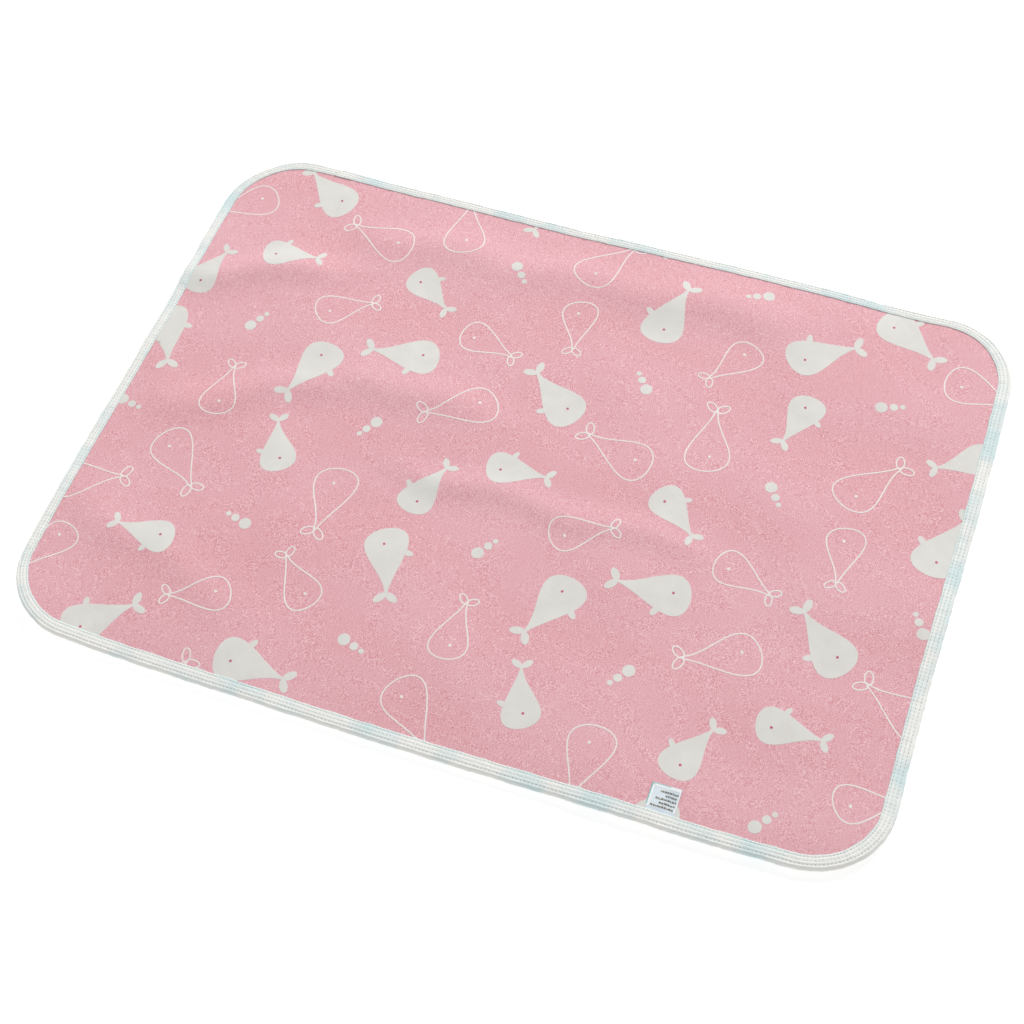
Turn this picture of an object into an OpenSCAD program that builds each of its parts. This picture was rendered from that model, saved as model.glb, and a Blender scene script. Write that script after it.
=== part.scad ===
// Flat quilted-feel changing pad: a printed cotton face, an absorbent wadding core,
// a waterproof film and a plain backing, held together by one folded binding tape
// that runs round the whole edge and is sewn through with a three-needle coverstitch.
// A satin care label is caught under the binding at the front edge.
// The origin is the centre of the resting face, X runs along the length, +Z is up.

/* [Pad outline] */
// Overall length, along X
pad_length = 700; // [500:5:900]
// Overall width, along Y
pad_width = 500; // [350:5:700]
// Radius of the outer corners
corner_r = 62; // [30:1:120]
// Thickness over the bound edge
edge_t = 6; // [5:0.5:12]

/* [Layers] */
// Thickness of the printed face fabric
face_t = 0.6; // [0.3:0.1:1]
// Thickness of the waterproof film
film_t = 0.2; // [0.1:0.1:0.4]
// Thickness of the backing fabric
backing_t = 0.6; // [0.3:0.1:1]

/* [Edge binding] */
// Width of the binding on each side of the pad
binding_w = 11; // [9:0.5:20]
// Thickness of the folded tape
tape_t = 0.7; // [0.6:0.1:1]
// Distance of the lapped tape ends from the left end of the pad
lap_x = 95; // [80:5:200]
// Length over which the tape ends lap on each other
lap_l = 14; // [8:1:30]
// Height of the lap above the tape
lap_t = 0.25; // [0.2:0.05:0.6]

/* [Stitching] */
// Thickness of the sewing thread
thread_t = 0.5; // [0.3:0.1:0.8]
// Distance of the outer needle row from the outer edge
outer_row = 3.3; // [3:0.1:4.5]
// Distance of the middle needle row from the outer edge
middle_row = 6.4; // [5.5:0.1:7]
// Distance of the inner needle row from the outer edge
inner_row = 9.3; // [8:0.1:10]
// Depth to which the threads pull into the tape
pull_in = 0.3; // [0.1:0.05:0.4]

/* [Care label] */
// Width of the label ribbon
label_w = 22; // [15:1:40]
// Free length of the label, from the binding inwards
label_l = 19.5; // [12:0.5:40]
// Thickness of the label ribbon
label_t = 0.3; // [0.2:0.05:0.4]
// Length of the label's tail under the binding
tail_l = 6; // [4:0.5:7]
// Place of the label's middle along the front edge
label_x = 192.5; // [-200:0.5:200]

/* [Hidden] */
$fn = 64;
eps = 0.01;
// Gap between the label and the pieces it moves past
label_gap = 0.2;
// Gap between the looper thread and the resting face
looper_gap = 0.05;

roll_r = edge_t / 2;
layer_inset = roll_r;
backing_z = tape_t;
film_z = backing_z + backing_t;
core_z = film_z + film_t;
face_top = edge_t - tape_t;
face_z = face_top - face_t;
core_t = face_z - core_z;
binding_inner_y = pad_width / 2 - binding_w;

// The pad's outline drawn in by inset
module outline(inset) {
    r = corner_r - inset;
    half = [pad_length / 2 - corner_r, pad_width / 2 - corner_r];
    square([2 * half.x, 2 * (half.y + r)], center = true);
    square([2 * (half.x + r), 2 * half.y], center = true);
    for (sx = [-1, 1], sy = [-1, 1]) translate([sx * half.x, sy * half.y]) circle(r);
}

// One flat layer of the sandwich that the binding clamps
module layer(z, t) {
    translate([0, 0, z]) linear_extrude(t) outline(layer_inset);
}

// Carries a profile round the pad's edge: its x is measured out from the corner centres
module round_the_edge() {
    run = [pad_width - 2 * corner_r, pad_length - 2 * corner_r];
    out = [pad_length / 2 - corner_r, pad_width / 2 - corner_r];
    for (side = [0 : 3]) rotate([0, 0, 90 * side]) {
        along = side % 2;
        translate([out[along], 0, 0]) rotate([90, 0, 0])
            linear_extrude(run[along], center = true) children();
        translate([out[along], run[along] / 2, 0]) rotate_extrude(angle = 90) children();
    }
}

// Section of the folded tape: a rounded outer turn with a flat leg above and below
module tape_section() {
    difference() {
        union() {
            translate([corner_r - roll_r, roll_r]) circle(roll_r);
            translate([corner_r - binding_w, 0]) square([binding_w - roll_r, edge_t]);
        }
        translate([corner_r - roll_r, roll_r]) circle(roll_r - tape_t);
        translate([corner_r - binding_w - eps, tape_t])
            square([binding_w - roll_r + eps, edge_t - 2 * tape_t]);
        for (row = [outer_row, middle_row, inner_row]) needle_channel(row);
        looper_channel();
    }
}

// Channel that a needle thread pulls into the top of the tape
module needle_channel(row) {
    translate([corner_r - row - thread_t / 2, edge_t - pull_in]) square([thread_t, pull_in + eps]);
}

// Channel that the looper thread pulls into the underside of the tape
module looper_channel() {
    translate([corner_r - inner_row - thread_t / 2, -eps])
        square([inner_row - outer_row + thread_t, pull_in + eps]);
}

// One row of needle thread, seen as a low ridge on the tape
module needle_thread(row) {
    round_the_edge()
        translate([corner_r - row - thread_t / 2, edge_t - pull_in]) square(thread_t);
}

module face_fabric() {
    color("#e4b1b8") layer(face_z, face_t);
}

module absorbent_core() {
    color("white") layer(core_z, core_t);
}

module waterproof_film() {
    color("#dfe9ee") layer(film_z, film_t);
}

module backing_fabric() {
    color("#efe3e2") layer(backing_z, backing_t);
}

// Where the tape's ends meet, the finishing end lies over the starting end
module tape_lap() {
    first_gap = outer_row + thread_t;
    second_gap = middle_row + thread_t;
    for (gap = [[first_gap, middle_row - thread_t], [second_gap, inner_row - thread_t]])
        translate([lap_x - pad_length / 2, pad_width / 2 - gap[1], edge_t])
            cube([lap_l, gap[1] - gap[0], lap_t]);
}

module edge_binding() {
    color("#e6edec") difference() {
        union() {
            round_the_edge() tape_section();
            tape_lap();
        }
        label_seat();
    }
}

// Room for the label's tail between the face fabric and the tape
module label_seat() {
    translate([label_x - label_w / 2, -binding_inner_y - tail_l, face_top - eps])
        cube([label_w, tail_l + eps, label_t + eps]);
}

module inner_needle_thread() {
    color("#dcebe8") needle_thread(inner_row);
}

module middle_needle_thread() {
    color("#eef3f2") needle_thread(middle_row);
}

module outer_needle_thread() {
    color("#eef3f2") needle_thread(outer_row);
}

module looper_thread() {
    color("#eef3f2") round_the_edge()
        translate([corner_r - inner_row - thread_t / 2, looper_gap])
            square([inner_row - outer_row + thread_t, pull_in - looper_gap]);
}

// The free leaf turns about a line along the binding's inner edge, just above the tape
module care_label() {
    color("#d3dfe6")
        translate([label_x - label_w / 2, -binding_inner_y + label_gap, face_top + label_gap])
            cube([label_w, label_l - label_gap, label_t]);
}

module label_tail() {
    color("#d3dfe6") translate([label_x - label_w / 2, -binding_inner_y - tail_l, face_top])
        cube([label_w, tail_l, label_t]);
}

face_fabric();
absorbent_core();
waterproof_film();
backing_fabric();
edge_binding();
inner_needle_thread();
middle_needle_thread();
outer_needle_thread();
looper_thread();
care_label();
label_tail();
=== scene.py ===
"""Looks for the changing pad: layers, binding, stitching, print and care label, built round the frame."""
import math

import bpy
import numpy as np
from mathutils import Matrix, Vector
from mathutils.geometry import delaunay_2d_cdt


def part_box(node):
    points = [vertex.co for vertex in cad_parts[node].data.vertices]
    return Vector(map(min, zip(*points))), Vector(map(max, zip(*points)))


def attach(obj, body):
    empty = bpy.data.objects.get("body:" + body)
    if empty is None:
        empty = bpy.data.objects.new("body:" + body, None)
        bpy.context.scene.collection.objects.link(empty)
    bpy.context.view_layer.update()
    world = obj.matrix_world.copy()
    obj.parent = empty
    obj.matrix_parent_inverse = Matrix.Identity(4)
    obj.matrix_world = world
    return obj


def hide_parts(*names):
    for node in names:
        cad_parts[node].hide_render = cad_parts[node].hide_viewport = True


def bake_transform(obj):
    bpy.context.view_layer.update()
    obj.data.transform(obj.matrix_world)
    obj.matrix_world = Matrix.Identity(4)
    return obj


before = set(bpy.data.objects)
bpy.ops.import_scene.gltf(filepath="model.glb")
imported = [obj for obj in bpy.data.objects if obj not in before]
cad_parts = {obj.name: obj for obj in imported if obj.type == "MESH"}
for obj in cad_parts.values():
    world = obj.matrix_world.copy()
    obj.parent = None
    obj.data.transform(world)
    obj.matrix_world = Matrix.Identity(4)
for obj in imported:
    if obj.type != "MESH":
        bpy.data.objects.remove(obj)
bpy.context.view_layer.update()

MM = 0.001
rng = np.random.default_rng(7)

# ---------------------------------------------------------------- sizes, read from the frame
BINDING_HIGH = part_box("edge_binding")[1]
FACE_LOW, FACE_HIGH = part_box("face_fabric")
CORE_LOW, CORE_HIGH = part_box("absorbent_core")
FILM_LOW, FILM_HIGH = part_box("waterproof_film")
BACKING_LOW, BACKING_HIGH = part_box("backing_fabric")
LABEL_LOW, LABEL_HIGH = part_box("care_label")
TAIL_LOW, TAIL_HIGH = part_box("label_tail")
HALF_LENGTH = BINDING_HIGH.x
HALF_WIDTH = BINDING_HIGH.y
END_RUN = max(v.co.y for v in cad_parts["edge_binding"].data.vertices if v.co.x > HALF_LENGTH - 1e-5)
CORNER_R = HALF_WIDTH - END_RUN
STRAIGHT_X = HALF_LENGTH - CORNER_R
STRAIGHT_Y = HALF_WIDTH - CORNER_R
BINDING_W = TAIL_HIGH.y + HALF_WIDTH
LAYER_INSET = HALF_WIDTH - FACE_HIGH.y
FACE_TOP = FACE_HIGH.z


def row_inset(node):
    """How far a needle row lies in from the outer edge."""
    low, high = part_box(node)
    return HALF_LENGTH - high.x + (high.z - low.z) / 2


INNER_ROW = row_inset("inner_needle_thread")
MIDDLE_ROW = row_inset("middle_needle_thread")
OUTER_ROW = row_inset("outer_needle_thread")
STITCH_PITCH = 3 * MM
# Where the tape's two ends lap, on the back edge
LAP_X = -0.248
LAP_LENGTH = 14 * MM


# ---------------------------------------------------------------- the pad's outline
def edge_segments():
    """The outline from the lap round by the left end: kind of piece, length, start, way or angle."""
    turn = CORNER_R * math.pi / 2
    x, y = STRAIGHT_X, STRAIGHT_Y
    return [
        ("run", LAP_X + x, (LAP_X, y), 180),
        ("turn", turn, (-x, y), 90),
        ("run", 2 * y, (-x, y), 270),
        ("turn", turn, (-x, -y), 180),
        ("run", 2 * x, (-x, -y), 0),
        ("turn", turn, (x, -y), 270),
        ("run", 2 * y, (x, -y), 90),
        ("turn", turn, (x, y), 0),
        ("run", x - LAP_X, (x, y), 180),
    ]


SEGMENTS = edge_segments()
PERIMETER = sum(s[1] for s in SEGMENTS)
STITCHES = round(PERIMETER / STITCH_PITCH)


def edge_frame(s):
    """For distances s round the outer edge: the points on the corner-centre line and the outward normals."""
    s = np.mod(s, PERIMETER)
    centre = np.zeros((len(s), 2))
    normal = np.zeros((len(s), 2))
    start = 0.0
    for kind, length, origin, degrees in SEGMENTS:
        here = (s >= start) & (s <= start + length)
        t = s[here] - start
        angle = np.full(len(t), math.radians(degrees))
        if kind == "run":
            way = np.stack([np.cos(angle), np.sin(angle)], 1)
            centre[here] = np.array(origin) + way * t[:, None]
            normal[here] = np.stack([np.sin(angle), -np.cos(angle)], 1)
        else:
            angle = angle + t / CORNER_R
            centre[here] = origin
            normal[here] = np.stack([np.cos(angle), np.sin(angle)], 1)
        start += length
    return centre, normal


def edge_points(s, inset, z):
    """Points at distance s round the edge, inset from it, at height z, before the pad is laid.

    The tape was sewn on a little narrower along the back and the left."""
    centre, normal = edge_frame(s)
    snug = 1 - 0.19 * np.maximum(normal[:, 1], 0) ** 2 - 0.12 * np.maximum(-normal[:, 0], 0) ** 2
    flat = centre + normal * (CORNER_R - inset * snug)[:, None]
    return np.column_stack([flat, z])


def inset_of(x, y):
    """How far points lie in from the outer edge."""
    over_x = np.abs(x) - STRAIGHT_X
    over_y = np.abs(y) - STRAIGHT_Y
    outside = np.hypot(np.maximum(over_x, 0), np.maximum(over_y, 0))
    return CORNER_R - outside - np.minimum(np.maximum(over_x, over_y), 0)


# ---------------------------------------------------------------- how the pad lies
# Soft waves that the whole pad keeps: (height, wavelength, direction in degrees, phase)
WAVES = [
    (0.55 * MM, 0.215, 78, 0.4),
    (0.40 * MM, 0.128, 64, 2.1),
    (0.30 * MM, 0.150, 15, 4.0),
    (0.22 * MM, 0.092, 100, 1.2),
    (0.16 * MM, 0.070, 40, 5.1),
]
# Soft folds left from packing, as ridges: (x and y of one end, x and y of the other, height, half width)
FOLDS = [
    (-0.350, 0.100, -0.215, 0.146, 4.2 * MM, 0.015),
    (-0.215, 0.190, 0.160, 0.204, 3.3 * MM, 0.020),
    (-0.300, -0.026, -0.165, 0.040, 3.8 * MM, 0.018),
    (-0.160, 0.046, -0.040, 0.040, 3.2 * MM, 0.017),
    (-0.090, -0.027, 0.150, -0.028, 2.6 * MM, 0.013),
    (-0.320, -0.138, -0.175, -0.180, 2.2 * MM, 0.016),
]
# Corners that stand off the table: (x sign, y sign, height, reach)
LIFTED_CORNERS = [(-1, -1, 5.0 * MM, 0.085), (-1, 1, 1.2 * MM, 0.07), (1, -1, 1.0 * MM, 0.06)]
# Corners that the binding draws in: (x sign, y sign, distance, reach)
DRAWN_CORNERS = [(-1, -1, 1.5 * MM, 0.055), (-1, 1, 3.8 * MM, 0.05)]
# Where the long edges run off straight: (y sign, x of the place, move towards +Y, reach along x)
EDGE_BOWS = [
    (-1, 0.01, -3.2 * MM, 0.13),
    (-1, 0.30, 1.8 * MM, 0.05),
    (1, 0.01, -3.0 * MM, 0.11),
    (1, 0.27, -2.4 * MM, 0.08),
]
# How far the left edge stands in and the right edge out
LEFT_IN, RIGHT_OUT = 2.3 * MM, 0.9 * MM
# Slow wander of the long edges and of the ends: how far, and its wavelength
LONG_WANDER, LONG_WANDER_WAVE = 0.9 * MM, 0.41
END_WANDER, END_WANDER_WAVE = 0.8 * MM, 0.33
# Height of the laid pad above a flat one before its waves and folds
LIE = 0.9 * MM


def lift(x, y):
    """Height of the laid pad above a flat one."""
    height = np.zeros_like(x) + LIE
    for amplitude, wavelength, degrees, phase in WAVES:
        along = x * math.cos(math.radians(degrees)) + y * math.sin(math.radians(degrees))
        height = height + amplitude * np.sin(2 * math.pi * along / wavelength + phase)
    for x0, y0, x1, y1, rise, half_width in FOLDS:
        length = math.hypot(x1 - x0, y1 - y0)
        way_x, way_y = (x1 - x0) / length, (y1 - y0) / length
        along = (x - x0) * way_x + (y - y0) * way_y
        aside = (y - y0) * way_x - (x - x0) * way_y + 0.004 * np.sin(along * 55)
        ends = 1 / (1 + np.exp(-along / 0.012)) / (1 + np.exp((along - length) / 0.016))
        height = height + rise * ends * np.exp(-((aside / half_width) ** 2))
    for sign_x, sign_y, rise, reach in LIFTED_CORNERS:
        away = np.hypot(x - sign_x * HALF_LENGTH, y - sign_y * HALF_WIDTH)
        height = height + rise * np.exp(-((away / reach) ** 2))
    return np.maximum(height, 0)


def edge_pucker(x, y):
    """Small gathers where the binding grips the face, and the soft swell of the padding inside them."""
    into = inset_of(x, y) - BINDING_W
    inside = np.clip(into / (3 * MM), 0, 1)
    ripple = np.sin(2 * math.pi * (x + y) / 0.013) + np.sin(2 * math.pi * (x - 0.8 * y) / 0.0171 + 1)
    swell = 0.7 * MM * (1 - np.exp(-np.maximum(into, 0) / 0.012))
    return swell + inside * np.exp(-np.maximum(into, 0) / 0.009) * ripple * 0.13 * MM


def laid(points):
    """Carries points of the flat pad to where they lie."""
    x, y, z = points[:, 0], points[:, 1], points[:, 2]
    share = np.clip(z / FACE_TOP, 0, 1)
    out = points.copy()
    out[:, 2] = z + lift(x, y) + share * edge_pucker(x, y)
    for sign_x, sign_y, pull, reach in DRAWN_CORNERS:
        away = np.hypot(x - sign_x * HALF_LENGTH, y - sign_y * HALF_WIDTH)
        amount = pull * np.exp(-((away / reach) ** 2))
        out[:, 0] -= sign_x * amount
        out[:, 1] -= sign_y * amount
    for sign_y, place, move, reach in EDGE_BOWS:
        towards = np.clip(sign_y * y / HALF_WIDTH, 0, 1) ** 2
        out[:, 1] += move * towards * np.exp(-(((x - place) / reach) ** 2))
    out[:, 0] += LEFT_IN * np.clip(-x / HALF_LENGTH, 0, 1) ** 2
    out[:, 0] += RIGHT_OUT * np.clip(x / HALF_LENGTH, 0, 1) ** 2
    long_wave = np.sin(2 * math.pi * x / LONG_WANDER_WAVE + 1.0)
    out[:, 1] += LONG_WANDER * long_wave * np.clip(np.abs(y) / HALF_WIDTH, 0, 1)
    end_wave = np.sin(2 * math.pi * y / END_WANDER_WAVE)
    out[:, 0] += END_WANDER * end_wave * np.clip(np.abs(x) / HALF_LENGTH, 0, 1)
    return out


# ---------------------------------------------------------------- mesh helpers
def new_piece(name, vertices, faces, material, bodies=("pad",)):
    """A smooth mesh object with its material; it rides on its body when given one, and is left unattached
    when given two.
    """
    mesh = bpy.data.meshes.new(name)
    mesh.from_pydata([tuple(v) for v in vertices], [], [tuple(f) for f in faces])
    mesh.validate()
    mesh.polygons.foreach_set("use_smooth", [True] * len(mesh.polygons))
    piece = bpy.data.objects.new(name, mesh)
    bpy.context.scene.collection.objects.link(piece)
    mesh.materials.append(material)
    if len(bodies) == 1:
        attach(piece, bodies[0])
    return piece


def grid_faces(rows, columns, closed_rows=False, closed_columns=False, first=0):
    """Quads of a grid of points, row by row."""
    r = np.arange(rows if closed_rows else rows - 1)
    c = np.arange(columns if closed_columns else columns - 1)
    r, c = np.meshgrid(r, c, indexing="ij")
    r1, c1 = (r + 1) % rows, (c + 1) % columns
    quads = np.stack([r * columns + c, r * columns + c1, r1 * columns + c1, r1 * columns + c], -1)
    return quads.reshape(-1, 4) + first


def add_vectors(piece, name, values):
    """Stores a vector at each point, for the material to read."""
    attribute = piece.data.attributes.new(name, "FLOAT_VECTOR", "POINT")
    attribute.data.foreach_set("vector", np.asarray(values, np.float32).ravel())


# ---------------------------------------------------------------- materials
class Nodes:
    """A short way to write a material's nodes."""

    def __init__(self, name, **shader):
        self.material = bpy.data.materials.new(name)
        self.material.use_nodes = True
        self.tree = self.material.node_tree
        self.shader = self.tree.nodes["Principled BSDF"]
        for socket, value in shader.items():
            self.shader.inputs[socket.replace("_", " ")].default_value = value

    def node(self, kind, inputs=None, **settings):
        made = self.tree.nodes.new("ShaderNode" + kind)
        for key, value in settings.items():
            setattr(made, key, value)
        for key, value in (inputs or {}).items():
            if isinstance(value, bpy.types.NodeSocket):
                self.tree.links.new(value, made.inputs[key])
            else:
                made.inputs[key].default_value = value
        return made

    def place(self, stretch=(1, 1, 1), turn=0.0):
        """Object coordinates in metres, stretched and turned about Z."""
        where = self.node("TexCoord").outputs["Object"]
        mapping = {"Vector": where, "Scale": stretch, "Rotation": (0, 0, math.radians(turn))}
        return self.node("Mapping", mapping).outputs[0]

    def noise(self, where, scale, detail=2.0, roughness=0.5):
        settings = {"Vector": where, "Scale": scale, "Detail": detail, "Roughness": roughness}
        return self.node("TexNoise", settings).outputs["Fac"]

    def ramp(self, value, low, high, to_low=0.0, to_high=1.0):
        return self.node("MapRange", {"Value": value, "From Min": low, "From Max": high,
                                      "To Min": to_low, "To Max": to_high}).outputs[0]

    def math(self, operation, a, b=0.0):
        return self.node("Math", {0: a, 1: b}, operation=operation).outputs[0]

    def mix(self, share, a, b, blend="MIX"):
        return self.node("Mix", {0: share, 6: a, 7: b}, data_type="RGBA", blend_type=blend).outputs[2]

    def bump(self, height, distance, strength=1.0, before=None):
        inputs = {"Height": height, "Distance": distance, "Strength": strength}
        if before is not None:
            inputs["Normal"] = before
        return self.node("Bump", inputs).outputs[0]

    def finish(self, colour, roughness=None, normal=None):
        self.tree.links.new(colour, self.shader.inputs["Base Color"])
        if roughness is not None:
            self.tree.links.new(roughness, self.shader.inputs["Roughness"])
        if normal is not None:
            self.tree.links.new(normal, self.shader.inputs["Normal"])
        return self.material


def rgb(r, g, b):
    """A colour given as a screen shows it, 0 to 255, as linear light."""
    shown = (r / 255, g / 255, b / 255)
    linear = [c / 12.92 if c <= 0.04045 else ((c + 0.055) / 1.055) ** 2.4 for c in shown]
    return (*linear, 1.0)


def weave(m, pitch, where=None):
    """Height of a plain weave: two sets of threads, each going over and under."""
    where = where or m.place()
    turns = {"Vector": where, "Scale": 1 / pitch / 2, "Distortion": 0.6, "Detail": 1.0, "Detail Scale": 2.0}
    warp = m.node("TexWave", turns, bands_direction="X").outputs["Fac"]
    weft = m.node("TexWave", turns, bands_direction="Y").outputs["Fac"]
    return m.math("MAXIMUM", warp, weft)


def printed_cotton():
    m = Nodes("pink_heathered_cotton", Roughness=0.82, Specular_IOR_Level=0.25, Sheen_Weight=0.25,
              Sheen_Roughness=0.45, Sheen_Tint=(1.0, 0.86, 0.88, 1.0))
    cloud = m.noise(m.place((0.5, 1.3, 1), 12), 11, 2)
    ground = m.mix(m.ramp(cloud, 0.3, 0.7), rgb(216, 151, 158), rgb(224, 167, 177))
    fleck = m.noise(m.place((0.7, 1.2, 1), 4), 2300, 0)
    light = m.mix(m.ramp(fleck, 0.5, 0.64, 0.0, 0.85), ground, rgb(246, 212, 217))
    dark = m.mix(m.ramp(fleck, 0.36, 0.5, 0.6, 0.0), light, rgb(203, 130, 138))
    threads = m.bump(weave(m, 0.62 * MM), 0.06 * MM, 0.25)
    normal = m.bump(m.noise(m.place(), 2200, 1), 0.05 * MM, 0.35, threads)
    rough = m.ramp(m.noise(m.place(), 300, 2), 0.3, 0.7, 0.76, 0.9)
    return m.finish(dark, rough, normal)


def print_ink(name, low, high):
    """Ink that lies on the cotton: a little of the weave shows through it."""
    m = Nodes(name, Roughness=0.7, Specular_IOR_Level=0.3, Sheen_Weight=0.1)
    tone = m.ramp(m.noise(m.place(), 70, 3), 0.3, 0.7)
    grain = m.ramp(m.noise(m.place((0.6, 1.2, 1)), 1400, 1), 0.3, 0.7)
    share = m.math("ADD", m.math("MULTIPLY", tone, 0.6), m.math("MULTIPLY", grain, 0.4))
    colour = m.mix(share, rgb(*low), rgb(*high))
    normal = m.bump(weave(m, 0.62 * MM), 0.05 * MM, 0.4)
    return m.finish(colour, m.ramp(grain, 0.0, 1.0, 0.62, 0.78), normal)


def binding_tape():
    m = Nodes("white_aqua_binding", Roughness=0.75, Specular_IOR_Level=0.3, Sheen_Weight=0.2,
              Sheen_Roughness=0.4)
    tape = m.node("Attribute", attribute_name="tape").outputs["Vector"]
    patch = m.noise(m.place(), 24, 2)
    streak = m.noise(m.node("Mapping", {"Vector": tape, "Scale": (60, 900, 1)}).outputs[0], 1.0, 3)
    base = m.mix(m.ramp(patch, 0.48, 0.66), rgb(242, 240, 235), rgb(212, 229, 230))
    # The tape's colour with its lengthwise streaks; painted shade at the needle holes is mixed into it below
    streaks_and_hole_shade = m.mix(m.ramp(streak, 0.45, 0.75, 0.0, 0.45), base, rgb(210, 218, 216))
    inset = m.node("SeparateXYZ", {"Vector": tape}).outputs["Z"]
    near_row = 0.0
    for row in (INNER_ROW, MIDDLE_ROW, OUTER_ROW):
        off = m.math("ABSOLUTE", m.math("SUBTRACT", inset, row))
        near_row = m.math("MAXIMUM", m.ramp(off, 0.3 * MM, 0.75 * MM, 1.0, 0.0), near_row)
    # Painted shade: the tape turns grey-teal at every needle hole, where the wave is lowest and the cloth
    # lies in its own shade
    stitch = m.node("TexWave", {"Vector": tape, "Scale": math.pi / 10 / (PERIMETER / STITCHES)},
                    bands_direction="X")
    hole = m.math("MULTIPLY", m.ramp(stitch.outputs["Fac"], 0.02, 0.4, 0.6, 0.0), near_row)
    # A darker aqua band along the tape's innermost edge
    streaks_and_hole_shade = m.mix(m.ramp(inset, 10.2 * MM, 10.7 * MM, 0.0, 0.55), streaks_and_hole_shade, rgb(186, 218, 218))
    streaks_and_hole_shade = m.mix(hole, streaks_and_hole_shade, rgb(172, 190, 188))
    ribs = m.node("TexWave", {"Vector": tape, "Scale": 1 / (0.9 * MM) / 2, "Distortion": 0.4, "Detail": 1.0},
                  bands_direction="Y").outputs["Fac"]
    knit = m.node("TexWave", {"Vector": tape, "Scale": 1 / (1.1 * MM) / 2, "Distortion": 0.5, "Detail": 1.0},
                  bands_direction="X").outputs["Fac"]
    cloth = m.bump(m.math("MAXIMUM", ribs, knit), 0.09 * MM, 0.5)
    normal = m.bump(m.noise(m.place(), 500, 3), 0.1 * MM, 0.4, cloth)
    return m.finish(streaks_and_hole_shade, m.ramp(streak, 0.3, 0.7, 0.68, 0.84), normal)


def sewing_thread(name, low, high):
    m = Nodes(name, Roughness=0.5, Specular_IOR_Level=0.4, Sheen_Weight=0.15)
    tone = m.ramp(m.noise(m.place(), 45, 2), 0.4, 0.6)
    spin = {"Vector": m.place(turn=35), "Scale": 1600.0, "Distortion": 0.5}
    twist = m.node("TexWave", spin).outputs["Fac"]
    normal = m.bump(twist, 0.05 * MM, 0.6)
    return m.finish(m.mix(tone, rgb(*low), rgb(*high)), m.ramp(twist, 0, 1, 0.42, 0.6), normal)


def plain_cotton():
    m = Nodes("plain_backing_cotton", Roughness=0.85, Specular_IOR_Level=0.25, Sheen_Weight=0.2)
    cloud = m.noise(m.place((1, 1.4, 1)), 18, 3)
    grain = m.noise(m.place((0.5, 1.2, 1)), 1300, 1)
    ground = m.mix(m.ramp(cloud, 0.3, 0.7), rgb(236, 226, 224), rgb(244, 237, 234))
    colour = m.mix(m.ramp(grain, 0.35, 0.7, 0.0, 0.35), ground, rgb(222, 208, 206))
    normal = m.bump(weave(m, 0.7 * MM), 0.09 * MM, 0.7)
    return m.finish(colour, m.ramp(grain, 0.3, 0.7, 0.78, 0.92), normal)


def wadding():
    m = Nodes("fibre_wadding", Roughness=0.95, Specular_IOR_Level=0.15)
    fibre = m.noise(m.place((0.3, 1.0, 1.0), 25), 900, 4, 0.7)
    colour = m.mix(m.ramp(fibre, 0.35, 0.65), rgb(232, 231, 226), rgb(248, 247, 243))
    return m.finish(colour, m.ramp(fibre, 0.3, 0.7, 0.88, 0.98), m.bump(fibre, 0.4 * MM, 0.6))


def barrier_film():
    m = Nodes("barrier_film", Roughness=0.3, Specular_IOR_Level=0.5)
    cloud = m.noise(m.place(), 60, 3)
    colour = m.mix(m.ramp(cloud, 0.3, 0.7), rgb(222, 231, 235), rgb(236, 242, 244))
    return m.finish(colour, m.ramp(cloud, 0.3, 0.7, 0.22, 0.38), m.bump(cloud, 0.2 * MM, 0.4))


def label_satin():
    m = Nodes("label_satin", Roughness=0.42, Specular_IOR_Level=0.5, Sheen_Weight=0.2, Anisotropic=0.4)
    fine = m.noise(m.place((1.0, 0.15, 1)), 2600, 1)
    tone = m.noise(m.place(), 90, 2)
    ground = m.mix(m.ramp(tone, 0.35, 0.65), rgb(203, 218, 228), rgb(222, 232, 238))
    colour = m.mix(m.ramp(fine, 0.35, 0.7, 0.0, 0.3), ground, rgb(236, 242, 246))
    normal = m.bump(fine, 0.03 * MM, 0.5)
    return m.finish(colour, m.ramp(fine, 0.3, 0.7, 0.36, 0.5), normal)


# ---------------------------------------------------------------- flat layers of the sandwich
def layer_grid(inset, step):
    """Rows of points that fill the pad's outline drawn in by inset."""
    radius = CORNER_R - inset
    turn = np.linspace(0, math.pi / 2, 17)
    corner_y, corner_x = STRAIGHT_Y + radius * np.sin(turn), STRAIGHT_X + radius * np.cos(turn)
    middle = np.linspace(-STRAIGHT_Y, STRAIGHT_Y, round(2 * STRAIGHT_Y / step) + 1)[1:-1]
    rows_y = np.concatenate([-corner_y[::-1], middle, corner_y])
    rows_x = np.concatenate([corner_x[::-1], np.full(len(middle), STRAIGHT_X + radius), corner_x])
    across = np.linspace(-1, 1, round(2 * HALF_LENGTH / step) + 1)
    x = rows_x[:, None] * across[None, :]
    y = np.broadcast_to(rows_y[:, None], x.shape)
    return x, y


def slab(name, low, high, step, material, inset=LAYER_INSET):
    """A closed sheet between heights low and high that fills the outline and lies as the pad does."""
    x, y = layer_grid(inset, step)
    rows, columns = x.shape
    top = np.column_stack([x.ravel(), y.ravel(), np.full(x.size, high)])
    bottom = np.column_stack([x.ravel(), y.ravel(), np.full(x.size, low)])
    vertices = laid(np.vstack([top, bottom]))
    upper = grid_faces(rows, columns)
    lower = upper[:, ::-1] + x.size
    index = np.arange(x.size).reshape(rows, columns)
    rim = np.concatenate([index[0, :-1], index[:-1, -1], index[-1, :0:-1], index[:0:-1, 0]])
    after = np.roll(rim, -1)
    walls = np.stack([after, rim, rim + x.size, after + x.size], 1)
    return new_piece(name, vertices, np.vstack([upper, lower, walls]), material)


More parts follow.
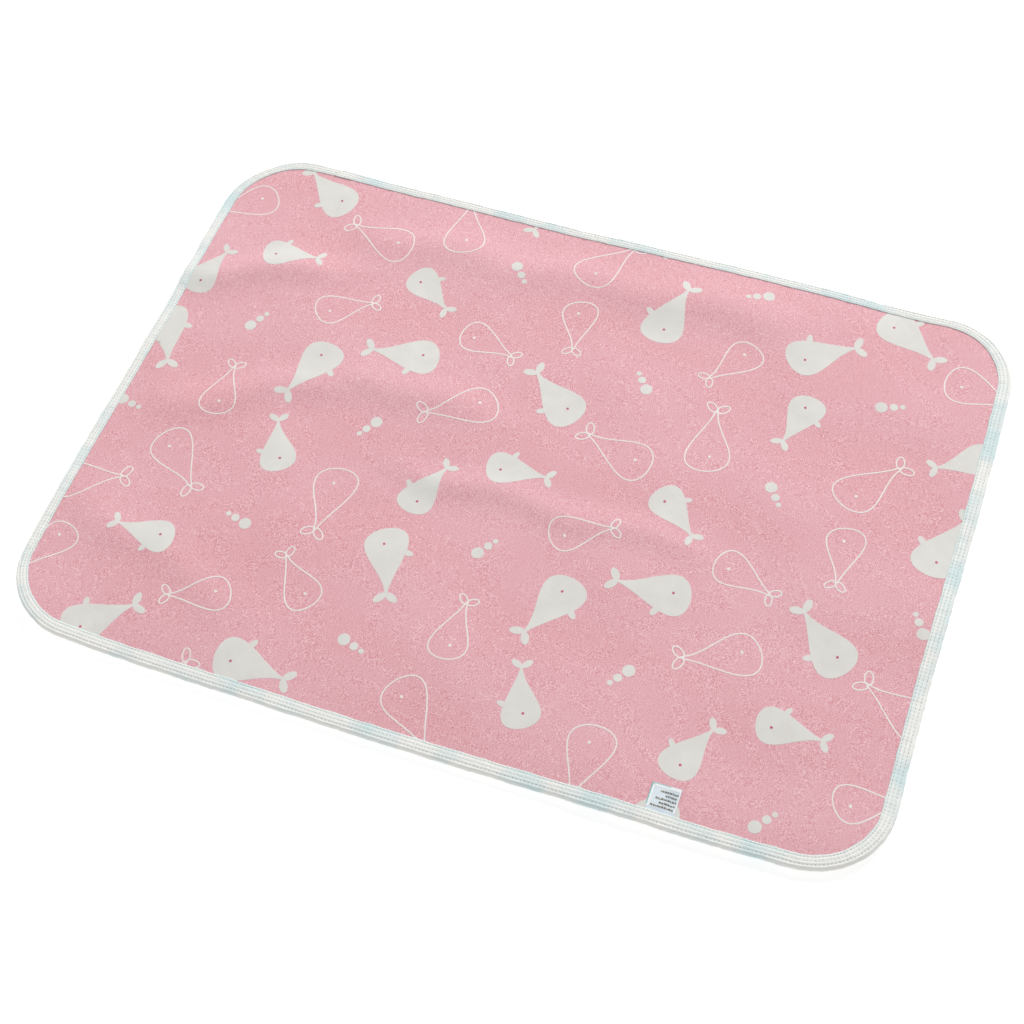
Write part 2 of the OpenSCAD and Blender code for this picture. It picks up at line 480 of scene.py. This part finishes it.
# ---------------------------------------------------------------- edge binding
# The folded tape's section as (inset, height) in mm: outside from its top inner edge to its bottom one,
# then back inside it
TAPE_TOP = [(11.0, 5.45), (10.85, 5.85), (10.3, 6.05), (9.8, 5.98), (9.3, 5.74), (8.8, 5.98), (8.0, 6.16),
            (7.1, 6.08), (6.4, 5.86), (5.8, 6.06), (5.0, 6.2), (4.2, 6.08), (3.7, 5.8), (3.3, 5.52),
            (2.9, 5.8)]
TAPE_ROLL = [(2.3, 6.02), (1.6, 5.9), (0.95, 5.45), (0.4, 4.7), (0.05, 3.8), (-0.05, 2.9), (0.1, 2.0),
             (0.5, 1.2), (1.15, 0.5), (2.0, 0.12), (2.8, 0.1)]
TAPE_UNDER = [(3.3, 0.4), (4.0, 0.32), (6.4, 0.42), (9.3, 0.42), (10.4, 0.3), (10.95, 0.45)]
TAPE_INSIDE = [(10.9, 0.72), (5.0, 0.72), (1.6, 1.6), (0.9, 3.0), (1.6, 4.5), (5.0, 5.25), (10.9, 5.3)]


def smooth_noise(s, wavelength, seed):
    """A gentle random wave round the edge that closes on itself, about -1 to 1."""
    draw = np.random.default_rng(seed)
    total = np.zeros_like(s)
    base = PERIMETER / wavelength
    for share in (0.6, 0.8, 1.0, 1.3, 1.7):
        turns = max(1, round(base * share))
        total = total + np.sin(2 * math.pi * turns * s / PERIMETER + draw.uniform(0, 2 * math.pi))
    return total / 2.6


def tape_height(s, inset):
    """Height of the tape's top at distance s round the edge, with the dimples at its stitches."""
    knots = np.array(TAPE_TOP[::-1]) * MM
    height = np.interp(inset, knots[:, 0], knots[:, 1])
    phase = np.cos(2 * math.pi * s / PERIMETER * STITCHES)
    for row, depth in ((INNER_ROW, 0.22), (MIDDLE_ROW, 0.18), (OUTER_ROW, 0.25)):
        near = np.exp(-(((inset - row) / (0.7 * MM)) ** 2))
        height = height - near * phase * depth * MM
    ripple = smooth_noise(s, 0.011, 3) * 0.10 + smooth_noise(s + inset * 2, 0.006, 4) * 0.05
    return height + ripple * MM


def edge_binding(material):
    section = np.array(TAPE_TOP + TAPE_ROLL + TAPE_UNDER + TAPE_INSIDE) * MM
    stations = 3 * STITCHES + 1
    over = round(LAP_LENGTH / PERIMETER * 3 * STITCHES)
    s = np.arange(stations + over) / (3 * STITCHES) * PERIMETER
    s_all = np.repeat(s, len(section))
    inset = np.tile(section[:, 0], len(s))
    height = np.tile(section[:, 1], len(s))
    part = np.tile(np.arange(len(section)), len(s))
    top = part < len(TAPE_TOP)
    roll = (part >= len(TAPE_TOP)) & (part < len(TAPE_TOP) + len(TAPE_ROLL))
    height[top] = tape_height(s_all[top], inset[top])
    bulge = smooth_noise(s_all[roll], 0.013, 5) * 0.12 + smooth_noise(s_all[roll], 0.05, 6) * 0.2
    inset[roll] -= bulge * MM
    height[roll] += 0.4 * bulge * MM * np.sign(height[roll] - 3 * MM)
    inset[top] += smooth_noise(s_all[top], 0.03, 8) * 0.25 * MM * (inset[top] > 9.6 * MM)
    past = np.clip((s_all - PERIMETER + 1 * MM) / (2 * MM), 0, 1)
    outer = part < len(TAPE_TOP) + len(TAPE_ROLL) + len(TAPE_UNDER)
    middle = 3 * MM
    height = np.where(outer, height + past * 0.35 * MM * np.sign(height - middle), height)
    inset = np.where(roll, inset - past * 0.3 * MM, inset)
    into_lap = np.clip((s_all - PERIMETER) / LAP_LENGTH, 0, 1)
    slant = np.where(s_all > PERIMETER, (inset - 5 * MM) * 0.55 * into_lap, 0)
    vertices = laid(edge_points(s_all + slant, inset, height))
    faces = grid_faces(len(s), len(section), closed_columns=True)
    first = np.arange(len(section))
    last = first[::-1] + (len(s) - 1) * len(section)
    piece = new_piece("edge_binding_tape", vertices, list(map(tuple, faces)) + [tuple(first), tuple(last)],
                      material)
    round_section = np.concatenate([[0], np.cumsum(np.hypot(*np.diff(section, axis=0).T))])
    add_vectors(piece, "tape", np.column_stack([s_all, np.tile(round_section, len(s)), inset]))
    return piece


# ---------------------------------------------------------------- stitching
THREAD_R = 0.24 * MM


def tubes(paths, radii, sides=6):
    """Many short round threads: paths is (threads, rings, 3), radii is (threads, rings)."""
    count, rings, _ = paths.shape
    ahead = np.gradient(paths, axis=1)
    ahead /= np.linalg.norm(ahead, axis=2, keepdims=True)
    up = np.array([0.0, 0.0, 1.0])
    side = np.cross(ahead, up)
    side /= np.linalg.norm(side, axis=2, keepdims=True)
    over = np.cross(side, ahead)
    angle = np.linspace(0, 2 * math.pi, sides, endpoint=False)
    circle = (side[:, :, None, :] * np.cos(angle)[None, None, :, None]
              + over[:, :, None, :] * np.sin(angle)[None, None, :, None])
    vertices = paths[:, :, None, :] + circle * radii[:, :, None, None]
    one = grid_faces(rings, sides, closed_columns=True)[:, ::-1]
    starts = np.arange(count) * rings * sides
    quads = (one[None] + starts[:, None, None]).reshape(-1, 4)
    first = (np.arange(sides)[None] + starts[:, None]).tolist()
    last = (np.arange(sides)[::-1][None] + starts[:, None] + (rings - 1) * sides).tolist()
    return vertices.reshape(-1, 3), quads.tolist() + first + last


def needle_row(name, node, inset, material):
    """One row of separate stitches, each dipping into the tape at its needle holes."""
    share = np.array([-0.46, -0.36, -0.16, 0.16, 0.36, 0.46])
    drop = np.array([-0.34, -0.04, 0.12, 0.12, -0.04, -0.34]) * MM
    wide = np.array([0.5, 0.9, 1.0, 1.0, 0.9, 0.5])
    centre = (np.arange(STITCHES) + 0.5) * PERIMETER / STITCHES
    s = centre[:, None] + share[None, :] * PERIMETER / STITCHES
    sway = rng.normal(0, 0.07 * MM, (STITCHES, 1)) + share[None, :] * rng.normal(0, 0.25 * MM, (STITCHES, 1))
    rows = inset + sway
    z = tape_height(s.ravel(), np.full(s.size, inset)).reshape(s.shape) + drop[None, :]
    points = laid(edge_points(s.ravel(), rows.ravel(), z.ravel())).reshape(STITCHES, len(share), 3)
    radii = THREAD_R * wide[None, :] * rng.uniform(0.9, 1.1, (STITCHES, 1))
    vertices, faces = tubes(points, radii)
    piece = new_piece(name, vertices, faces, material)
    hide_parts(node)
    return piece


def looper(material):
    """The thread that locks the needle rows on the underside, going to and fro between them."""
    insets = np.array([INNER_ROW, MIDDLE_ROW, OUTER_ROW, MIDDLE_ROW])
    count = 4 * STITCHES
    step = np.arange(count + 1)
    s = step / count * PERIMETER
    inset = insets[step % 4]
    height = np.where(step % 2 == 0, 0.30, 0.22) * MM
    path = laid(edge_points(s, inset, height))[None]
    vertices, faces = tubes(path, np.full((1, count + 1), 0.2 * MM), 5)
    piece = new_piece("looper_zigzag", vertices, faces, material)
    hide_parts("looper_thread")
    return piece


# ---------------------------------------------------------------- printed motifs
# The cotton's own drawing is left out: plain shapes from formulas stand in for it, on a half-drop lattice.
# Lattice steps and creature lengths are in mm, and each motif is turned on from the last by a fixed angle
MOTIF_ACROSS, MOTIF_ALONG = 66, 74
MOTIF_TURN = 137.5
MOTIF_ORDER = ("solid", "drawn", "solid", "bubbles", "drawn")
CREATURE_LENGTHS = (58, 49)
# Shares of a creature's length: its widest half, the half at its tail, and how far the tail turns up
BODY_HALF, TAIL_HALF, TAIL_RISE = 0.30, 0.018, 0.12
LINE_WIDTH = 1.1


class Print:
    """Collects the printed shapes as polygons in mm, by ink."""

    def __init__(self):
        self.white, self.lines, self.rose = [], [], []

    def stroke(self, loop, width):
        """The outline of a closed shape, as a chain of four-sided pieces."""
        way = np.roll(loop, -1, axis=0) - np.roll(loop, 1, axis=0)
        way = way / np.linalg.norm(way, axis=1, keepdims=True)
        aside = np.column_stack([-way[:, 1], way[:, 0]]) * width / 2
        left, right = loop + aside, loop - aside
        for i in range(len(loop)):
            j = (i + 1) % len(loop)
            self.lines.append(np.array([left[i], right[i], right[j], left[j]]))


def placed(points, x, y, degrees, size):
    """Carries a motif's own points to their place on the face, in mm."""
    c, s = math.cos(math.radians(degrees)), math.sin(math.radians(degrees))
    p = np.array(points, float) * size
    return np.column_stack([x + p[:, 0] * c - p[:, 1] * s, y + p[:, 0] * s + p[:, 1] * c])


def disc(x, y, radius):
    turn = np.linspace(0, 2 * math.pi, 21)[:-1]
    return np.column_stack([x + radius * np.cos(turn), y + radius * np.sin(turn)])


def petal(x, y, degrees, length, half):
    """An oval lobe that starts at a point and runs that way."""
    turn = np.linspace(0, 2 * math.pi, 21)[:-1]
    lobe = np.column_stack([(1 - np.cos(turn)) / 2 * length, np.sin(turn) * half])
    return placed(lobe, x, y, degrees, 1)


def drop_body():
    """A drop-shaped body, tail at 0 and round head at 1, its tail turned up."""
    turn = np.linspace(0, math.pi / 2, 28)
    along = np.sin(turn)
    axis = TAIL_RISE * (1 - along) ** 2
    swell = along**1.5 * np.cos(turn)
    half = BODY_HALF * swell / swell.max() + TAIL_HALF * (1 - along)
    upper = np.column_stack([along, axis + half])
    lower = np.column_stack([along, axis - half])
    return np.vstack([upper[:-1], lower[::-1]])


def creature(ink, x, y, heading, length, solid):
    """A plain whale shape: a drop and two tail lobes, in outline or filled and with a fin."""
    tail = [petal(0.01, TAIL_RISE, turn, 0.20, 0.055) for turn in (115, 218)]
    middle = np.array([0.45, 0])
    shapes = [drop_body(), *tail]
    if solid:
        shapes.append(petal(0.60, -0.18, 235, 0.17, 0.045))
    shapes = [placed(shape - middle, x, y, heading, length) for shape in shapes]
    eye = placed([(0.31, 0.04)], x, y, heading, length)[0]
    if solid:
        ink.white.extend(shapes)
        ink.rose.append(disc(*eye, 1.1))
        return
    for shape in shapes:
        ink.stroke(shape, LINE_WIDTH)
    ink.lines.append(disc(*eye, 1.3))


def bubbles(ink, x, y, heading):
    """Three discs in a row, each smaller than the last."""
    for place, radius in ((-9, 5.0), (1, 3.4), (8, 2.2)):
        centre = placed([(place, 0)], x, y, heading, 1)[0]
        ink.white.append(disc(*centre, radius))


def is_convex(quad):
    """True for a four-sided piece that isn't crossed over or squashed flat."""
    along = np.roll(quad, -1, axis=0) - quad
    turns = np.cross(along, np.roll(along, -1, axis=0))
    return (turns > 1e-4).all() or (turns < -1e-4).all()


def signed_area(polygon):
    x, y = polygon[:, 0], polygon[:, 1]
    return (x * np.roll(y, -1) - y * np.roll(x, -1)).sum() / 2


# Spacing of the points that let a printed film follow the face, and how far in the print ends, in mm
FILM_STEP = 3.5
PRINT_INSET = 7.0


def ink_film(name, polygons, material, above):
    """The union of printed polygons as one thin film with turned-down edges, following the face."""
    s = np.linspace(0, PERIMETER, 500, endpoint=False)
    clip = edge_points(s, np.full(len(s), PRINT_INSET * MM), np.zeros(len(s)))[:, :2] / MM
    points, faces = [Vector(p) for p in clip], [list(range(len(clip)))]
    for polygon in polygons:
        if len(polygon) == 4 and not is_convex(polygon):
            continue
        number = list(range(len(points), len(points) + len(polygon)))
        faces.append(number if signed_area(polygon) > 0 else number[::-1])
        points += [Vector(p) for p in polygon]
    if name.startswith("printed_white"):
        gx, gy = np.meshgrid(np.arange(-340, 341, FILM_STEP), np.arange(-240, 241, FILM_STEP))
        points += [Vector(p) for p in zip(gx.ravel(), gy.ravel())]
    co, _, tri, _, _, origin = delaunay_2d_cdt(points, [], faces, 0, 1e-5)
    kept = [t for t, o in zip(tri, origin) if 0 in o and len(o) > 1]
    used = sorted({v for t in kept for v in t})
    number = {v: i for i, v in enumerate(used)}
    flat = np.array([(co[v].x, co[v].y) for v in used]) * MM
    kept = [[number[v] for v in t] for t in kept]
    area = [np.cross(flat[t[1]] - flat[t[0]], flat[t[2]] - flat[t[0]]) for t in kept]
    kept = [t if a > 0 else t[::-1] for t, a in zip(kept, area)]
    count = {}
    for t in kept:
        for a, b in zip(t, t[1:] + t[:1]):
            count[(a, b)] = count.get((a, b), 0) + 1
    rim = [e for e in count if (e[1], e[0]) not in count]
    rim_points = sorted({v for e in rim for v in e})
    high = {v: len(flat) + i for i, v in enumerate(rim_points)}
    low = {v: len(flat) + len(rim_points) + i for i, v in enumerate(rim_points)}
    top = laid(np.column_stack([flat, np.full(len(flat), FACE_TOP)]))
    top[:, 2] += above
    under = top[rim_points] - [0, 0, above + 0.12 * MM]
    faces = kept + [(high[b], high[a], low[a], low[b]) for a, b in rim]
    return new_piece(name, np.vstack([top, top[rim_points], under]), faces, material)


def print_pattern():
    ink = Print()
    number = 0
    for column in range(-6, 7):
        for row in range(-4, 5):
            number += 1
            x = column * MOTIF_ACROSS
            y = (row + 0.5 * (column % 2)) * MOTIF_ALONG
            kind = MOTIF_ORDER[(column + 2 * row) % len(MOTIF_ORDER)]
            heading = MOTIF_TURN * number
            if kind == "bubbles":
                bubbles(ink, x, y, heading)
                continue
            length = CREATURE_LENGTHS[number % 2]
            creature(ink, x, y, heading, length, kind == "solid")
    return ink


# ---------------------------------------------------------------- care label
def label_sheet(material):
    """A satin ribbon from under the binding that lies on the face, its free end curling up a little."""
    rows, columns = 40, 25
    y = np.linspace(TAIL_LOW.y, LABEL_HIGH.y, rows)
    x = np.linspace(LABEL_LOW.x, LABEL_HIGH.x, columns)
    grid_x, grid_y = np.meshgrid(x, y)
    low = label_base(grid_x.ravel(), grid_y.ravel())
    thick = LABEL_HIGH.z - LABEL_LOW.z
    bottom = np.column_stack([grid_x.ravel(), grid_y.ravel(), low])
    top = bottom + [0, 0, thick]
    upper = grid_faces(rows, columns)
    index = np.arange(rows * columns).reshape(rows, columns)
    rim = np.concatenate([index[0, :-1], index[:-1, -1], index[-1, :0:-1], index[:0:-1, 0]])
    after = np.roll(rim, -1)
    walls = np.stack([after, rim, rim + rows * columns, after + rows * columns], 1)
    faces = np.vstack([upper, upper[:, ::-1] + rows * columns, walls])
    piece = new_piece("care_label_ribbon", np.vstack([top, bottom]), faces, material,
                      ("pad", "label"))
    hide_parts("care_label", "label_tail")
    return piece


def label_base(x, y):
    """Height of the label's underside."""
    ground = laid(np.column_stack([x, y, np.full(len(x), FACE_TOP)]))[:, 2]
    free = np.clip((y - LABEL_LOW.y) / (LABEL_HIGH.y - LABEL_LOW.y), 0, 1)
    across = (x - LABEL_LOW.x) / (LABEL_HIGH.x - LABEL_LOW.x)
    curl = (0.15 + 1.3 * free**2 * (0.35 + 0.65 * across)) * MM
    return ground + curl * np.clip(free * 20, 0, 1) + 0.02 * MM


def label_marks(name, bars, material, above):
    """Plain bars on the label: (left, right, near, far) as shares of its width and free length."""
    thick = LABEL_HIGH.z - LABEL_LOW.z
    width, length = LABEL_HIGH.x - LABEL_LOW.x, LABEL_HIGH.y - LABEL_LOW.y
    vertices, faces = [], []
    for left, right, near, far in bars:
        columns = max(2, round((right - left) * 24) + 1)
        rows = max(2, round((far - near) * 24) + 1)
        gx, gy = np.meshgrid(np.linspace(left, right, columns), np.linspace(near, far, rows))
        x, y = LABEL_LOW.x + gx.ravel() * width, LABEL_LOW.y + gy.ravel() * length
        z = label_base(x, y) + thick + above
        faces += grid_faces(rows, columns, first=len(vertices)).tolist()
        vertices += np.column_stack([x, y, z]).tolist()
    piece = new_piece(name, vertices, faces, material, ("pad", "label"))
    return piece


# ---------------------------------------------------------------- build the pad
cotton = printed_cotton()
face = slab("face_cotton", FACE_LOW.z, FACE_HIGH.z, 3 * MM, cotton)
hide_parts("face_fabric")
core = slab("core_wadding", CORE_LOW.z, CORE_HIGH.z, 8 * MM, wadding())
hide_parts("absorbent_core")
film = slab("barrier_film_sheet", FILM_LOW.z, FILM_HIGH.z, 8 * MM, barrier_film())
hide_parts("waterproof_film")
backing = slab("backing_cotton", BACKING_LOW.z, BACKING_HIGH.z, 6 * MM, plain_cotton())
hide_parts("backing_fabric")

binding = edge_binding(binding_tape())
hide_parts("edge_binding")
thread = sewing_thread("white_thread", (226, 232, 231), (240, 243, 242))
aqua_thread = sewing_thread("aqua_thread", (205, 226, 225), (226, 236, 235))
needle_row("inner_stitches", "inner_needle_thread", INNER_ROW, aqua_thread)
needle_row("middle_stitches", "middle_needle_thread", MIDDLE_ROW, thread)
needle_row("outer_stitches", "outer_needle_thread", OUTER_ROW, thread)
looper(thread)

pattern = print_pattern()
white_ink = print_ink("white_ink", (214, 211, 206), (224, 222, 217))
ink_film("printed_white_motifs", pattern.white, white_ink, 0.12 * MM)
line_ink = print_ink("white_line_ink", (226, 218, 214), (238, 233, 230))
ink_film("printed_white_lines", pattern.lines, line_ink, 0.15 * MM)
rose_ink = print_ink("rose_ink", (186, 92, 112), (200, 114, 130))
ink_film("printed_rose_eyes", pattern.rose, rose_ink, 0.19 * MM)

label = label_sheet(label_satin())
# Evenly spaced rows of short dashes in place of the care notes: (near edge, left, right)
ROW_WIDTHS = (0.8, 0.55, 0.7, 0.4, 0.6)
LABEL_ROWS = [(0.10 + 0.15 * row, 0.94 - width, 0.94) for row, width in enumerate(ROW_WIDTHS)]
dashes = []
for near, row_left, row_right in LABEL_ROWS:
    left = row_left
    while left < row_right - 0.02:
        right = min(row_right, left + rng.uniform(0.035, 0.09))
        low = near + rng.uniform(-0.006, 0.012)
        dashes.append((left, right, low, low + rng.uniform(0.055, 0.085)))
        left = right + rng.uniform(0.01, 0.022)
marks = label_marks("label_dashes", dashes, print_ink("label_ink", (92, 86, 72), (140, 132, 116)), 0.04 * MM)
rim_white = print_ink("label_rim_white", (240, 244, 244), (248, 250, 250))
RIM_BARS = [(0.03, 0.10, 0.05, 0.96), (0.03, 0.99, 0.885, 0.965), (0.95, 0.99, 0.05, 0.885)]
rim = label_marks("label_white_rim", RIM_BARS, rim_white, 0.04 * MM)
edges = label_marks("label_edge_lines", [(0.0, 0.035, 0.12, 0.985), (0.02, 0.62, 0.962, 0.99)],
                    print_ink("label_teal", (104, 190, 186), (150, 212, 208)), 0.07 * MM)
for piece in (label, marks, rim, edges):
    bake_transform(piece)


# ---------------------------------------------------------------- floor, light and camera
# Lamps: name, place, side of the square in metres, power in watts
STUDIO_LAMPS = [("key", (0.6, 3.4, 2.5), 1.6, 138), ("fill", (-1.2, -0.6, 2.0), 1.8, 8)]


def studio():
    floor_mesh = bpy.data.meshes.new("floor")
    far, low = 6.0, -0.3 * MM
    corners = [(-far, -far, low), (far, -far, low), (far, far, low), (-far, far, low)]
    floor_mesh.from_pydata(corners, [], [(0, 1, 2, 3)])
    floor = bpy.data.objects.new("floor", floor_mesh)
    bpy.context.scene.collection.objects.link(floor)
    m = Nodes("floor_white", Roughness=0.9, Specular_IOR_Level=0.1, Base_Color=(0.72, 0.72, 0.72, 1),
              Emission_Color=(1, 1, 1, 1), Emission_Strength=0.52)
    floor_mesh.materials.append(m.material)
    world = bpy.data.worlds.new("studio")
    bpy.context.scene.world = world
    world.use_nodes = True
    world.node_tree.nodes["Background"].inputs["Color"].default_value = (1, 1, 1, 1)
    world.node_tree.nodes["Background"].inputs["Strength"].default_value = 0.5
    for name, place, size, energy in STUDIO_LAMPS:
        lamp = bpy.data.lights.new(name, "AREA")
        lamp.shape = "SQUARE"
        lamp.size = size
        lamp.energy = energy
        holder = bpy.data.objects.new(name, lamp)
        bpy.context.scene.collection.objects.link(holder)
        holder.location = place
        holder.rotation_euler = (-Vector(place)).to_track_quat("-Z", "Y").to_euler()


# The camera looks at a point on the face from this bearing, height, tilt and distance
CAMERA_BEARING, CAMERA_ELEVATION, CAMERA_ROLL = 24.84, 58.61, -5.93
CAMERA_DISTANCE, CAMERA_TARGET = 1.392, Vector((0.0259, -0.032, FACE_TOP))
CAMERA_LENS, CAMERA_SHIFT_X = 62.5, -0.0244


def make_camera():
    bearing, elevation, roll = map(math.radians, (CAMERA_BEARING, CAMERA_ELEVATION, CAMERA_ROLL))
    level = math.cos(elevation)
    back = Vector((math.sin(bearing) * level, -math.cos(bearing) * level, math.sin(elevation)))
    right = Vector((math.cos(bearing), math.sin(bearing), 0))
    up = back.cross(right)
    turned_right = right * math.cos(roll) + up * math.sin(roll)
    turned_up = up * math.cos(roll) - right * math.sin(roll)
    data = bpy.data.cameras.new("camera")
    data.lens = CAMERA_LENS
    data.sensor_width = 36
    data.shift_x = CAMERA_SHIFT_X
    camera = bpy.data.objects.new("camera", data)
    bpy.context.scene.collection.objects.link(camera)
    turn = Matrix((turned_right, turned_up, back)).transposed().to_4x4()
    camera.matrix_world = Matrix.Translation(CAMERA_TARGET + back * CAMERA_DISTANCE) @ turn
    bpy.context.scene.camera = camera


studio()
make_camera()
bpy.context.scene.view_settings.view_transform = "Standard"
